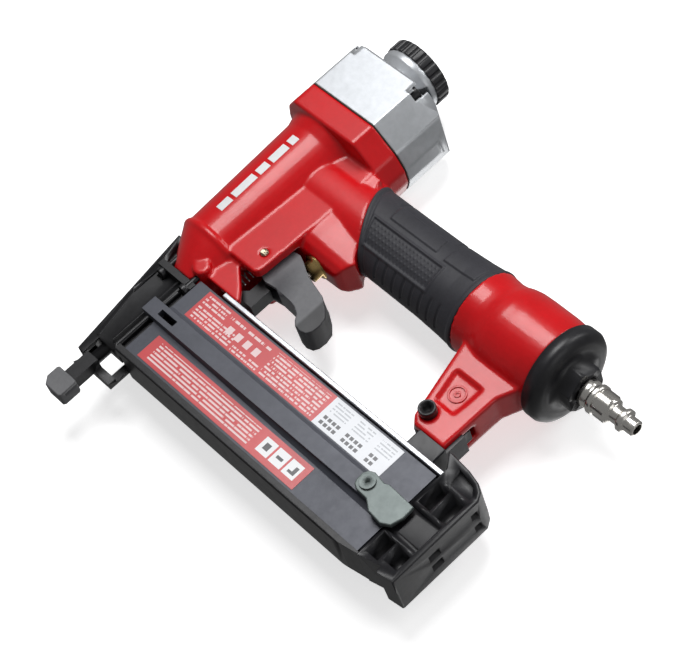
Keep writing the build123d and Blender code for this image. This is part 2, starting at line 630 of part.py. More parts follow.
def make_nose_cover():
    cover = prism_xz(NOSE_COVER, -4.2, 4.2)
    rim = side_edges(cover, 4.2, lambda edge: edge.center().X < -8.4 and edge.length > 20)
    cover = soften(cover, rim, 1.1)
    for side in (-1, 1):
        cover += prism_xz(COVER_FLANGE, side * 3.0, side * 5.4)
    # above z = 76 only the part ahead of the guide stays
    upper = cover & box(-30, -9.9, -10, 10, 76.0, 110)
    cover = cover - box(-30, 30, -10, 10, 76.0, 110) + upper
    cover -= housing + box(-6.6, 0, -1.8, 1.8, 20, 30.4)
    return largest(cover)


def make_work_contact():
    """Sleeve round the guide tip, with a strip rising on the +Y side."""
    channel = box(-2.3, 2.9, -2.0, 2.0, 0, 40)
    contact = box(*CONTACT_PLAN, CONTACT_Z0, 25.2) - channel
    contact += prism_xz([(-5.9, 17.2), (-3.3, 16.6), (-3.3, 21.2), (-4.6, 20.4)], -1.3, 1.3)
    contact += box(0.4, 14.2, 3.3, 7.6, 20.8, 25.2) + prism_xz(CONTACT_STRIP, 5.95, 7.6)
    return largest(contact - channel)


def make_contact_arm():
    arm = box(20.4, 25.4, -6.0, 5.95, 91.0, 93.4) + box(23.0, 40.6, -3.9, 3.9, 91.0, 93.4)
    arm += box(33.0, 40.6, -3.9, 3.9, 93.4, 103.2) + box(33.0, 36.4, -3.9, 3.9, 103.2, 108.8)
    return arm + prism_xz([(25.6, 91.0), (33.0, 91.0), (33.0, 97.0)], -3.9, 3.9)


def make_pad():
    pad = prism_xz(PAD, -4.4, 4.4)
    pad = soften(pad, side_edges(pad, 4.4), 0.6)
    pad -= box(*CONTACT_PLAN, CONTACT_Z0, 20)
    pad -= box(-0.8, 0.8, -1.3, 1.3, -1, 5)
    return pad - box(4.9, 7, -2.6, -0.6, 3.0, 20)


save("nose_guide", make_guide())
save("nose_screws", *[nose_screw(x, y) for x, y in NOSE_SCREWS])
save("nose_cover", make_nose_cover())
save("work_contact", make_work_contact())
save("contact_arm", make_contact_arm())
save("nose_pad", make_pad())
save("contact_spring", spring(x=23.0, radius=2.3, wire=0.8, z0=93.4 + GAP,
                              z1=113.0 - GAP, turns=7))


# --- magazine: two halves, rails, pusher, foot, latch, hanger ----------------
# outer section of the half on the +Y side, (y, z)
MAG_SHELL = [
    (TRACK_HALF, 36.2), (10.0, 36.2), (10.0, 51.8), (10.6, 54.6), (13.2, 55.2),
    (13.2, 63.6), (10.6, 64.2), (10.0, 66.0), (10.0, 84.0), (TRACK_HALF, 84.0)]
FOOT_HALF = 12.4
FOOT = [
    (172.2, 95.2), (174.0, 95.6), (186.0, 94.4), (193.4, 92.6), (197.2, 90.2), (199.6, 86.4),
    (199.6, 36.2), (198.8, 35.4), (190.8, 34.4), (190.0, 35.2), (190.0, 37.6), (178.0, 34.8),
    (178.0, 87.4), (176.8, 89.4)]
# pockets in the sides of the foot: x0, x1, z0, z1
FOOT_POCKETS = [
    (179.6, 187.0, 69.4, 81.6), (188.6, 196.8, 69.0, 81.6),
    (179.6, 187.0, 38.4, 49.6), (188.6, 196.8, 40.4, 49.6)]
FOOT_TOP_RECESS = [(181.5, 92.4), (191.5, 90.6), (196.4, 87.6), (196.4, 84.2), (183.0, 84.2)]
LATCH = [
    (152.6, 58.6), (153.6, 56.6), (156.2, 55.3), (162.8, 55.0), (168.0, 51.4), (176.2, 50.6),
    (180.6, 53.0), (182.4, 59.0), (181.8, 65.6), (166.0, 66.4), (163.6, 65.4), (156.6, 66.5),
    (153.6, 65.2), (152.3, 62.4)]
LATCH_LIP = [
    (165.0, 53.6), (168.0, 51.4), (176.2, 50.6), (180.4, 52.9), (181.0, 54.9), (170.0, 54.4)]
HANGER_TONGUE = [
    (144.8, 98.0), (147.0, 95.7), (166.9, 95.7), (166.9, 111.0), (146.0, 111.0), (144.8, 108.0)]


def rect(y0, y1, z0, z1):
    return [(y0, z0), (y1, z0), (y1, z1), (y0, z1)]


def make_magazine_cover():
    """Half on the -Y side, with a tongue at its front."""
    shell = [(-y, z) for y, z in MAG_SHELL]
    cover = prism_yz(shell, MAG_X0, 175.6)
    cover -= prism_yz(rect(0, -7.8, 40.0, 80.2), MAG_X0 - 1, 180)
    cover += prism_yz(rect(-8.4, -13.2, 55.2, 63.6), 6.0, MAG_X0 + 0.1)
    cover -= box(14.6, 25.6, -14, -5, 57.8, 61.0)
    cover -= cyl_y(LATCH_X, LATCH_Z, 1.8, -14, -5)
    return largest(cover)


def make_magazine_body():
    body = prism_yz(MAG_SHELL, MAG_X0, MAG_X1)
    body -= prism_yz(rect(2.6, 8.2, 40.0, 80.2), MAG_X0 + 3, MAG_X1 + 1)
    return largest(body - box(10, 30.4, 5.0, 14, 72.0, 90))


def make_top_rail():
    rail = box(30.7, MAG_X1, -MAG_HALF, MAG_HALF, 84.6, MAG_Z1)
    rail = soften(rail, rail.edges().filter_by(Axis.X), 0.5)
    return rail - box(60, 62, -0.8, 0.8, 80, 90)


def make_lower_rail():
    profile = [(12.0, MAG_Z0), (163.0, MAG_Z0), (MAG_X1, 35.0), (MAG_X1, 36.1), (12.0, 36.1)]
    rail = prism_xz(profile, -MAG_HALF, MAG_HALF)
    rim = side_edges(rail, MAG_HALF, lambda edge: edge.center().Z < 34.5 and edge.length > 20)
    return soften(rail, rim, 0.8) - box(9, 14.4, -6, 30, 30, 40)


def make_pusher():
    push = box(PUSH_X + 6, PUSH_X + 26, -7.6, -0.6, 44.0, 76.0)
    push += box(PUSH_X, PUSH_X + 26, -0.6, 0.55, 37.0, 83.4)
    return push - cyl_y(PUSH_X + 16, 60, 6.4, -8, -2.6)


def make_foot():
    foot = prism_xz(FOOT, -FOOT_HALF, FOOT_HALF)
    rim = side_edges(foot, FOOT_HALF,
                     lambda edge: edge.center().X > 199.5 or edge.center().Z > 88)
    foot = soften(foot, rim, 0.8)
    for side in (-1, 1):
        for x0, x1, z0, z1 in FOOT_POCKETS:
            foot -= box(x0, x1, side * 4.0, side * 14.0, z0, z1)
        foot -= box(177.0, 196.6, side * 10.6, side * 14.0, 51.4, 67.0)
        # notches in the rear face
        foot -= box(197.6, 201.0, side * 1.5, side * 6.5, 55.0, 61.5)
        foot -= box(197.6, 201.0, side * 2.5, side * 7.0, 80.4, 84.4)
        foot -= prism_xz(FOOT_TOP_RECESS, side * 9.0, side * 14.0)
        foot += box(183.4, 196.6, side * 10.6, side * 11.8, 54.0, 64.6)
    foot += box(175.7, 178.1, -9.6, -0.7, 37.2, 83.2)
    return largest(foot)


def make_latch():
    latch = prism_xz(LATCH, -15.4, -13.3)
    latch += prism_xz(LATCH_LIP, -13.3, -12.9)
    latch = soften(latch, side_edges(latch, 15.4), 0.6)
    return largest(latch - cyl_y(LATCH_X, LATCH_Z, 2.05, -20, -10))


def make_rivet():
    # radius, y0, y1
    steps = [(1.8, -13.25, -8.0), (2.0, -15.5, -13.25), (3.9, -16.4, -15.5)]
    shank, collar, head = [cyl_y(LATCH_X, LATCH_Z, *step) for step in steps]
    return shank + collar + head - cyl_y(LATCH_X, LATCH_Z, 1.2, -18, -14.6)


def make_hanger():
    hanger = box(152.2, 168.8, -9.0, 9.0, MAG_Z1, 95.6) + prism_xz(HANGER_TONGUE, -3.6, 3.6)
    hanger += box(166.9, 168.8, -6.0, 6.0, 95.0, 106.6)
    hanger -= cyl_y(HANGER_X, HANGER_Z, HANGER_HOLE_R, -12, 12)
    corners = hanger.edges().filter_by(Axis.Z).filter_by(lambda edge: abs(edge.center().Y) > 8.9)
    return largest(soften(hanger, corners, 0.8))


def make_hanger_screw():
    screw = cyl_y(HANGER_X, HANGER_Z, HANGER_SCREW_R, -8.2, 8.9)
    screw += cyl_y(HANGER_X, HANGER_Z, 4.2, -13.0, -8.2)
    screw = soften(screw, side_edges(screw, 13.0), 0.5)
    return screw - hex_y(HANGER_X, -13.5, HANGER_Z, 2.4, 3.4)


save("magazine_cover", make_magazine_cover())
save("magazine_body", make_magazine_body())
save("magazine_top_rail", make_top_rail())
save("magazine_lower_rail", make_lower_rail())
# labels: x0, x1, z0, z1
save("cover_labels", *[
    box(x0, x1, -10.15, -10.001, z0, z1)
    for x0, x1, z0, z1 in ((22.8, 112.4, 66.6, 83.0), (112.4, 156.4, 66.6, 83.0),
                           (22.2, 131.5, 37.6, 51.4))])
save("magazine_pusher", make_pusher())
save("pusher_spring",
     cyl_y(PUSH_X + 16, 60, 6.4, -7.4, -2.6) - cyl_y(PUSH_X + 16, 60, 3.4, -8, -2))
save("magazine_foot", make_foot())
save("latch", make_latch())
save("latch_rivet", make_rivet())
save("magazine_hanger", make_hanger())
save("hanger_screw", make_hanger_screw())
save("hanger_nut", hex_y(HANGER_X, 8.25, HANGER_Z, 4.4, 3.6)
     - cyl_y(HANGER_X, HANGER_Z, HANGER_SCREW_R, 0, 20))
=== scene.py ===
"""Hand tool with an upright column, a rubber grip, a magazine and printed films.

The column stands round the Z axis and the grip runs back from it along +X.
The -Y flank faces the camera; the tool lies with its +Y flank on the floor.
Scene units are metres; names and tables of parts are in millimetres unless noted.
"""
import json
from math import sin, cos, pi, radians

import bmesh
import bpy
from mathutils import Matrix, Vector


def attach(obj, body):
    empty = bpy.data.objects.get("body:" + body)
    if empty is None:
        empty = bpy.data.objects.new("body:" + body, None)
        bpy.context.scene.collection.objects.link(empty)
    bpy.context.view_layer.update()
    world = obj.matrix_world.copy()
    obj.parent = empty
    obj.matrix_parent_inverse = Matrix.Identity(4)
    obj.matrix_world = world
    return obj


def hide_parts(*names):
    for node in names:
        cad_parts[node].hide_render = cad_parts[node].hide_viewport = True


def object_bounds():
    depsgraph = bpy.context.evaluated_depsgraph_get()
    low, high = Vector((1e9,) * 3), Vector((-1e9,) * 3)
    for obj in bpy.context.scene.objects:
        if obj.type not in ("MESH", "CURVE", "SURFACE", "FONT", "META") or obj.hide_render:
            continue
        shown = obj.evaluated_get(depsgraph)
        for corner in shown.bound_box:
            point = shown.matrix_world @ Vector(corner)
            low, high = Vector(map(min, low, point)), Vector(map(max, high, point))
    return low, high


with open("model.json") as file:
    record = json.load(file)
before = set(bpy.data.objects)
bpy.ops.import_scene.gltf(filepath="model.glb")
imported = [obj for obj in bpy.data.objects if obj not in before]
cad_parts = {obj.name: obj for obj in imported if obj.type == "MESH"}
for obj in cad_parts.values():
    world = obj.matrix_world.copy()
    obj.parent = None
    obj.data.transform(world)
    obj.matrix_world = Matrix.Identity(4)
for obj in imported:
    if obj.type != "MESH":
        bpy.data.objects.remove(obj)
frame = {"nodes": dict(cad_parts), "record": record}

MM = 0.001
CAD_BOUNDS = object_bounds()
NODES = frame["nodes"]
RECORD = frame["record"]
BODY_OF = {node: body for body, nodes in RECORD["behaviour"]["bodies"].items() for node in nodes}
SLOT_OF = {part["node"]: part.get("material_slot") for part in RECORD["subparts"]}
scene = bpy.context.scene


# ---------------------------------------------------------------------------
# shader building
# ---------------------------------------------------------------------------
class Shader:
    """One material's node tree, ending in a Principled surface; positions are in metres."""

    def __init__(self, name):
        self.material = bpy.data.materials.new(name)
        self.material.use_nodes = True
        self.tree = self.material.node_tree
        self.tree.nodes.clear()
        self.output = self.node("ShaderNodeOutputMaterial")
        self.principled = self.node("ShaderNodeBsdfPrincipled")
        self.put(self.output.inputs[0], self.principled.outputs[0])
        self.position = self.node("ShaderNodeTexCoord").outputs["Object"]

    def node(self, kind, **settings):
        node = self.tree.nodes.new(kind)
        for key, value in settings.items():
            setattr(node, key, value)
        return node

    def put(self, socket, value):
        """Links a socket or sets a value; colours get an alpha of 1."""
        if isinstance(value, bpy.types.NodeSocket):
            self.tree.links.new(value, socket)
        elif isinstance(value, tuple):
            missing = len(socket.default_value) - len(value)
            socket.default_value = value + (1.0,) * missing
        else:
            socket.default_value = value

    def put_all(self, node, values):
        for index, value in enumerate(values):
            self.put(node.inputs[index], value)

    def math(self, operation, *values, clamp=False):
        node = self.node("ShaderNodeMath", operation=operation, use_clamp=clamp)
        self.put_all(node, values)
        return node.outputs[0]

    def mix(self, factor, first, second):
        node = self.node("ShaderNodeMix", data_type="RGBA")
        self.put(node.inputs["Factor"], factor)
        self.put(node.inputs[6], first)
        self.put(node.inputs[7], second)
        return node.outputs[2]

    def xyz(self):
        node = self.node("ShaderNodeSeparateXYZ")
        self.put(node.inputs[0], self.position)
        return tuple(node.outputs)

    def join(self, x, y, z):
        node = self.node("ShaderNodeCombineXYZ")
        self.put_all(node, (x, y, z))
        return node.outputs[0]

    def scaled(self, scale):
        node = self.node("ShaderNodeMapping")
        self.put(node.inputs["Vector"], self.position)
        node.inputs["Scale"].default_value = scale
        return node.outputs[0]

    def noise(self, scale, detail=3.0, roughness=0.5, vector=None):
        node = self.node("ShaderNodeTexNoise")
        self.put(node.inputs["Vector"], self.position if vector is None else vector)
        self.put(node.inputs["Scale"], scale)
        self.put(node.inputs["Detail"], detail)
        self.put(node.inputs["Roughness"], roughness)
        return node.outputs["Fac"]

    def cells(self, scale):
        node = self.node("ShaderNodeTexVoronoi")
        self.put(node.inputs["Vector"], self.position)
        self.put(node.inputs["Scale"], scale)
        return node.outputs["Distance"]

    def ramp(self, value, start, end, smooth=False):
        """0 below start, 1 above end."""
        kind = "SMOOTHSTEP" if smooth else "LINEAR"
        node = self.node("ShaderNodeMapRange", interpolation_type=kind)
        self.put_all(node, (value, start, end))
        return node.outputs[0]

    def bump(self, height, depth_mm, strength, normal=None):
        node = self.node("ShaderNodeBump")
        self.put(node.inputs["Strength"], strength)
        self.put(node.inputs["Distance"], depth_mm * MM)
        self.put(node.inputs["Height"], height)
        if normal is not None:
            self.put(node.inputs["Normal"], normal)
        return node.outputs[0]

    def bevel(self, radius_mm):
        node = self.node("ShaderNodeBevel", samples=4)
        self.put(node.inputs["Radius"], radius_mm * MM)
        return node.outputs[0]

    def edge(self, bevelled):
        """1 on convex and concave edges, 0 on open faces."""
        node = self.node("ShaderNodeVectorMath", operation="DOT_PRODUCT")
        true_normal = self.node("ShaderNodeNewGeometry").outputs["Normal"]
        self.put_all(node, (bevelled, true_normal))
        turn = self.math("SUBTRACT", 1.0, node.outputs["Value"])
        return self.ramp(turn, start=0.004, end=0.10)

    def surface(self, inputs):
        for key, value in inputs.items():
            self.put(self.principled.inputs[key], value)
        return self.material


def coated(name, dark, light, roughness, grain, grain_mm, metal=0.0, coat=0.0, coat_rough=0.1,
           blotch=35.0, bevel_mm=0.35, edge_color=None, edge_amount=0.0, specular=0.5,
           sheen=0.0, cells=None, shaded_tip=None):
    """Painted, moulded or cast surface with two tones, grain and softened edges, lighter where
    worn and where a painted highlight runs along them.

    grain, blotch and cells are texture scales; the darker tip, painted shade where the surface
    turns away, is given as (start x, end x, colour), in mm.
    """
    mat = Shader(name)

    # colour: large and small blotches, then edges lightened partly by wear and partly by painted
    # highlight, and a tip darkened as painted shade
    large = mat.math("MULTIPLY", mat.noise(blotch, detail=4.0, roughness=0.55), 0.65)
    small = mat.math("MULTIPLY", mat.noise(blotch * 14, roughness=0.6), 0.35)
    tone = mat.math("ADD", large, small)
    color = mat.mix(mat.ramp(tone, start=0.32, end=0.68), dark, light)
    bevelled = mat.bevel(bevel_mm)
    # edge mask in patches: the lighter edge colour is partly real wear and partly a painted
    # highlight along the rounded edges
    wear_and_highlight_patches = mat.ramp(mat.noise(420.0, detail=4.0, roughness=0.7), start=0.42, end=0.68)
    worn_and_highlit = mat.math("MULTIPLY", mat.edge(bevelled), wear_and_highlight_patches)
    if edge_color is not None:
        # edges take edge_color: partly wear, partly painted highlight
        color = mat.mix(mat.math("MULTIPLY", worn_and_highlit, edge_amount), color, edge_color)
    # darker tip: painted shade where the surface curves away from the light
    if shaded_tip:
        tip_start, tip_end, tip_shade_color = shaded_tip
        past_tip_shade = mat.ramp(mat.xyz()[0], tip_start * MM, tip_end * MM, smooth=True)
        color = mat.mix(past_tip_shade, color, tip_shade_color)

    # fine relief
    height = mat.noise(grain, detail=2.0)
    if cells:
        height = mat.math("ADD", mat.math("MULTIPLY", height, 0.5),
                          mat.math("MULTIPLY", mat.cells(cells), 0.8))
    normal = mat.bump(height, grain_mm, strength=0.6, normal=bevelled)

    # roughness swings either way of its mean and rises on worn edges
    swing = 0.08
    rough_noise = mat.noise(230.0, detail=4.0, roughness=0.6)
    rough = mat.math("ADD", roughness - swing,
                     mat.math("MULTIPLY", rough_noise, 2.0 * swing), clamp=True)
    rough = mat.math("ADD", rough, mat.math("MULTIPLY", worn_and_highlit, 0.08), clamp=True)
    if coat:
        mat.surface({"Coat Normal": bevelled})
    return mat.surface({
        "Base Color": color, "Roughness": rough, "Metallic": metal, "Normal": normal,
        "Specular IOR Level": specular, "Coat Weight": coat, "Coat Roughness": coat_rough,
        "Sheen Weight": sheen})


def turned_metal(name, color, dark, roughness, axis, pitch_mm=0.35, tarnish=0.3, lines_mm=0.006):
    """Lathe-turned or drawn metal: fine lines across an axis (0, 1, 2), with dull patches."""
    mat = Shader(name)
    wave = mat.math("SINE", mat.math("MULTIPLY", mat.xyz()[axis], 2 * pi / (pitch_mm * MM)))
    stretch = [0.12, 0.12, 0.12]
    stretch[axis] = 6.0
    scratches = mat.noise(900.0, detail=2.0, vector=mat.scaled(stretch))
    lines = mat.math("ADD", mat.math("MULTIPLY", wave, 0.25), scratches)
    stain = mat.ramp(mat.noise(160.0, detail=4.0, roughness=0.6), start=0.42, end=0.72)
    return mat.surface({
        "Base Color": mat.mix(mat.math("MULTIPLY", stain, tarnish), color, dark),
        "Metallic": 1.0,
        "Roughness": mat.math("ADD", roughness, mat.math("MULTIPLY", stain, 0.14)),
        "Normal": mat.bump(lines, lines_mm, strength=0.5, normal=mat.bevel(0.25))})


# ---------------------------------------------------------------------------
# printed films: rows of short bars and plain blocks, with no words
# ---------------------------------------------------------------------------
# x0, x1, z0, z1, line pitch, noise seed, inked part of the pitch, noise level of the gaps
LIGHT_ROWS = [
    (24.5, 40.0, 76.5, 81.8, 2.0, 1.0, 0.50, 0.44),
    (24.5, 52.0, 68.0, 75.5, 1.9, 2.0, 0.50, 0.44),
    (42.0, 70.0, 79.2, 81.6, 2.4, 3.0, 0.55, 0.44),
    (74.0, 110.0, 68.0, 81.5, 1.9, 4.0, 0.50, 0.44),
    (54.0, 72.0, 67.6, 71.0, 1.9, 4.5, 0.50, 0.44),
    (27.0, 98.0, 39.6, 49.6, 1.9, 5.0, 0.50, 0.36),
]
DARK_ROWS = [
    (115.0, 125.5, 75.5, 81.4, 1.7, 6.0, 0.42, 0.40),
    (129.5, 140.0, 75.5, 81.4, 1.7, 7.0, 0.42, 0.40),
    (144.5, 154.0, 75.5, 81.4, 1.7, 8.0, 0.42, 0.42),
]
# x0, x1, z0, z1
LIGHT_BLOCKS = [(45.0 + 6.2 * i, 48.6 + 6.2 * i, 72.6, 76.6) for i in range(4)]
SIGN_SQUARES = [(103.0 + 8.8 * i, 103.0 + 8.8 * i + 7.6, 40.6, 48.8) for i in range(3)]
SIGN_MARKS = [
    (105.2, 108.4, 43.0, 46.6), (113.6, 117.6, 43.8, 45.4),
    (122.6, 126.8, 42.4, 43.8), (124.8, 126.8, 43.8, 46.8),
]
# two rows of dark blocks in each group; a group is (first x, blocks in a row)
DARK_BLOCKS = [
    (x + 2.75 * i, x + 2.0 + 2.75 * i, 68.4 + 3.0 * j, 70.2 + 3.0 * j)
    for x, count in ((115.0, 4), (129.5, 4), (145.0, 2))
    for i in range(count)
    for j in range(2)
]


def label_material():
    mat = Shader("printed_film")
    x, _, z = mat.xyz()
    x_mm = mat.math("MULTIPLY", x, 1000.0)
    z_mm = mat.math("MULTIPLY", z, 1000.0)

    def between(value, low, high):
        return mat.math("MULTIPLY", mat.math("GREATER_THAN", value, low),
                        mat.math("LESS_THAN", value, high))

    def block(x0, x1, z0, z1):
        return mat.math("MULTIPLY", between(x_mm, x0, x1), between(z_mm, z0, z1))

    def text_rows(x0, x1, z0, z1, pitch, seed, fill, gap_level):
        """Lines of bars in a box, like set text seen from far away."""
        lines = mat.math("DIVIDE", mat.math("SUBTRACT", z_mm, z0), pitch)
        inked = mat.math("LESS_THAN", mat.math("FRACT", lines), fill)
        row_shift = mat.math("MULTIPLY", mat.math("FLOOR", lines), 17.3)
        words = mat.noise(0.9, detail=1.0, vector=mat.join(x_mm, row_shift, seed))
        bars = mat.math("MULTIPLY", inked, mat.math("GREATER_THAN", words, gap_level))
        return mat.math("MULTIPLY", bars, block(x0, x1, z0, z1))

    def union(masks):
        total = masks[0]
        for mask in masks[1:]:
            total = mat.math("MAXIMUM", total, mask)
        return total

    def print_blocks(blocks, under, ink):
        return mat.mix(union([block(*bounds) for bounds in blocks]), under, ink)

    # red film, white where it is both far back and high
    red = mat.mix(mat.ramp(mat.noise(60.0), start=0.35, end=0.65),
                  (0.52, 0.030, 0.036), (0.60, 0.044, 0.050))
    white_area = mat.math("MULTIPLY", mat.math("GREATER_THAN", x_mm, 112.4),
                          mat.math("GREATER_THAN", z_mm, 60.0))
    color = mat.mix(white_area, red, (0.74, 0.76, 0.80))

    light = union([text_rows(*row) for row in LIGHT_ROWS]
                  + [block(*bounds) for bounds in LIGHT_BLOCKS])
    color = mat.mix(mat.math("MULTIPLY", light, 0.72), color, (0.84, 0.76, 0.76))
    color = print_blocks(SIGN_SQUARES, under=color, ink=(0.80, 0.81, 0.83))
    color = print_blocks(SIGN_MARKS, under=color, ink=(0.03, 0.03, 0.04))
    dark = union([text_rows(*row) for row in DARK_ROWS])
    color = mat.mix(mat.math("MULTIPLY", dark, 0.55), color, (0.20, 0.22, 0.25))
    color = print_blocks(DARK_BLOCKS, under=color, ink=(0.05, 0.05, 0.06))

    return mat.surface({
        "Base Color": color,
        "Roughness": mat.math("ADD", 0.30, mat.math("MULTIPLY", mat.noise(300.0), 0.14)),
        "Normal": mat.bump(mat.noise(900.0), depth_mm=0.01, strength=0.4),
        "Coat Weight": 0.3, "Coat Roughness": 0.2})


# ---------------------------------------------------------------------------
# materials, by CAD material slot; the last four are for single parts
# ---------------------------------------------------------------------------
GREY_MOULDED = dict(
    dark=(0.085, 0.086, 0.094), light=(0.130, 0.131, 0.140), roughness=0.50, grain=2400,
    grain_mm=0.03, bevel_mm=0.5, edge_color=(0.22, 0.22, 0.23), edge_amount=0.4)

MATERIALS = {
    "body_paint": coated(
        "red_enamel", (0.50, 0.0006, 0.003), (0.62, 0.0012, 0.005), roughness=0.33,
        coat=0.35, coat_rough=0.12, grain=1400, grain_mm=0.010, bevel_mm=0.7,
        edge_color=(0.80, 0.06, 0.06), edge_amount=0.25, specular=0.35),
    "cap_metal": coated(
        "silver_lacquer", (0.44, 0.46, 0.48), (0.60, 0.62, 0.65), roughness=0.36, metal=0.55,
        coat=0.25, coat_rough=0.25, grain=2600, grain_mm=0.016, bevel_mm=0.8,
        edge_color=(0.78, 0.79, 0.80), edge_amount=0.5, blotch=22.0),
    "grip_rubber": coated(
        "grip_rubber_skin", (0.017, 0.017, 0.022), (0.030, 0.030, 0.038), roughness=0.58,
        grain=2200, grain_mm=0.05, cells=2600, bevel_mm=0.5,
        edge_color=(0.07, 0.07, 0.08), edge_amount=0.4, sheen=0.05, specular=0.45),
    "black_plastic": coated(
        "black_moulded", (0.007, 0.007, 0.009), (0.017, 0.017, 0.020), roughness=0.42,
        grain=2400, grain_mm=0.03, edge_color=(0.09, 0.09, 0.10), edge_amount=0.5),
    "black_steel": coated(
        "black_phosphate", (0.009, 0.009, 0.010), (0.022, 0.022, 0.024), roughness=0.38,
        metal=0.35, grain=1900, grain_mm=0.015, bevel_mm=0.3,
        edge_color=(0.16, 0.16, 0.17), edge_amount=0.6),
    "grey_plastic": coated("grey_moulded", **GREY_MOULDED),
    "magazine_paint": coated(
        "magazine_enamel", (0.040, 0.043, 0.056), (0.062, 0.066, 0.083), roughness=0.40,
        metal=0.25, grain=2200, grain_mm=0.02, bevel_mm=0.3,
        edge_color=(0.19, 0.20, 0.22), edge_amount=0.5),
    "latch_metal": coated(
        "latch_enamel", (0.105, 0.128, 0.124), (0.150, 0.178, 0.172), roughness=0.42,
        metal=0.35, grain=1500, grain_mm=0.018, bevel_mm=0.4,
        edge_color=(0.32, 0.35, 0.34), edge_amount=0.5),
    "seal_rubber": coated(
        "seal_black", (0.010, 0.010, 0.010), (0.018, 0.018, 0.018), roughness=0.6,
        grain=1500, grain_mm=0.02),
    "gasket": coated(
        "gasket_fibre", (0.035, 0.028, 0.022), (0.075, 0.062, 0.048), roughness=0.85,
        grain=3500, grain_mm=0.04),
    "nickel": turned_metal(
        "bright_nickel", (0.80, 0.78, 0.74), (0.50, 0.46, 0.40), roughness=0.20, axis=0,
        pitch_mm=1.1, tarnish=0.25, lines_mm=0.0015),
    "rail_metal": turned_metal(
        "extruded_rail", (0.50, 0.51, 0.54), (0.30, 0.31, 0.33), roughness=0.36, axis=1,
        pitch_mm=0.22, tarnish=0.5, lines_mm=0.003),
    "brass": turned_metal(
        "turned_brass", (0.72, 0.50, 0.20), (0.34, 0.22, 0.08), roughness=0.24, axis=2),
    "steel": turned_metal(
        "ground_steel", (0.56, 0.56, 0.57), (0.30, 0.29, 0.28), roughness=0.28, axis=2),
    "label": label_material(),
    "pad": coated(
        "grey_pad", (0.105, 0.106, 0.112), (0.155, 0.156, 0.162), roughness=0.60,
        grain=2000, grain_mm=0.04, bevel_mm=0.5,
        edge_color=(0.23, 0.23, 0.24), edge_amount=0.4),
    # the trigger's darker tip is painted shade, not a different plastic
    "trigger": coated("trigger_moulded", **GREY_MOULDED, shaded_tip=(66.5, 68.5, (0.028, 0.028, 0.031))),
    "pin": turned_metal(
        "pin_end", (0.56, 0.50, 0.36), (0.25, 0.21, 0.14), roughness=0.30, axis=1),
    "print": coated(
        "white_print", (0.70, 0.70, 0.71), (0.82, 0.82, 0.83), roughness=0.42,
        grain=1600, grain_mm=0.008, bevel_mm=0.05),
}

# nodes whose material differs from that of their slot
NODE_MATERIALS = {
    "trigger": "trigger", "trigger_pin": "pin", "nose_pad": "pad",
    "magazine_hanger": "black_plastic", "exhaust_screw": "black_steel",
    "end_cap": "black_plastic",
}


def dress(item, material):
    if not item.material_slots:
        item.data.materials.append(material)
    for slot in item.material_slots:
        slot.material = material


for node_name, item in NODES.items():
    dress(item, MATERIALS[SLOT_OF[node_name]])
for node_name, key in NODE_MATERIALS.items():
    dress(NODES[node_name], MATERIALS[key])


# ---------------------------------------------------------------------------
# mesh helpers
# ---------------------------------------------------------------------------
def link_object(name, mesh):
    item = bpy.data.objects.new(name, mesh)
    scene.collection.objects.link(item)
    return item


def shade(item, angle):
    """Smooth shading, sharp where faces meet at more than the angle in degrees."""
    mesh = item.data
    mesh.polygons.foreach_set("use_smooth", [True] * len(mesh.polygons))
    mesh.set_sharp_from_angle(angle=radians(angle))
    mesh.update()


def solid(name, verts, faces, angle):
    """Closed mesh from points in metres, with its normals turned outward."""
    mesh = bpy.data.meshes.new(name)
    mesh.from_pydata(verts, [], faces)
    item = link_object(name, mesh)
    work = bmesh.new()
    work.from_mesh(mesh)
    bmesh.ops.recalc_face_normals(work, faces=work.faces)
    work.to_mesh(mesh)
    work.free()
    shade(item, angle)
    return item


def joined_copy(node_name, name):
    """Copy of a CAD node with its loose facets welded together."""
    mesh = NODES[node_name].data.copy()
    mesh.name = name
    item = link_object(name, mesh)
    work = bmesh.new()
    work.from_mesh(mesh)
    bmesh.ops.remove_doubles(work, verts=work.verts, dist=2e-6)
    bmesh.ops.dissolve_degenerate(work, edges=work.edges, dist=1e-6)
    work.to_mesh(mesh)
    work.free()
    return item


def bake(item):
    """Turns an object's modifiers into its mesh."""
    bpy.context.view_layer.update()
    graph = bpy.context.evaluated_depsgraph_get()
    baked = bpy.data.meshes.new_from_object(
        item.evaluated_get(graph), preserve_all_data_layers=True, depsgraph=graph)
    old = item.data
    item.modifiers.clear()
    item.data = baked
    bpy.data.meshes.remove(old)


def faceted_skin(node_name, name):
    """Joined copy whose flats stay flat next to small roundings."""
    item = joined_copy(node_name, name)
    shade(item, angle=30.0)
    weighted = item.modifiers.new("weighted", "WEIGHTED_NORMAL")
    weighted.mode = "FACE_AREA_WITH_ANGLE"
    weighted.weight = 100
    weighted.keep_sharp = True
    bake(item)
    return item


def smooth_casting(node_name, name):
    """Remeshed copy with its corners run round, as a mould leaves them."""
    item = joined_copy(node_name, name)
    remesh = item.modifiers.new("remesh", "REMESH")
    remesh.mode = "VOXEL"
    remesh.voxel_size = 0.7 * MM
    remesh.use_smooth_shade = True
    smooth = item.modifiers.new("smooth", "SMOOTH")
    smooth.factor = 0.5
    smooth.iterations = 6
    bake(item)
    item.data.polygons.foreach_set("use_smooth", [True] * len(item.data.polygons))
    item.data.update()
    return item


def adopt(item, node_name):
    """Puts a detailed mesh in the place of a CAD node."""
    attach(item, BODY_OF[node_name])
    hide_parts(node_name)
    dress(item, NODES[node_name].material_slots[0].material)


def add_to_housing(item, material_key):
    """Extra surface detail riding with the body housing."""
    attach(item, BODY_OF["body_housing"])
    dress(item, MATERIALS[material_key])


for node_name in list(NODES):
    if node_name not in ("body_housing", "grip_sleeve"):
        adopt(faceted_skin(node_name, node_name + "_skin"), node_name)

build_casting = smooth_casting
adopt(build_casting("body_housing", "body_casting"), "body_housing")


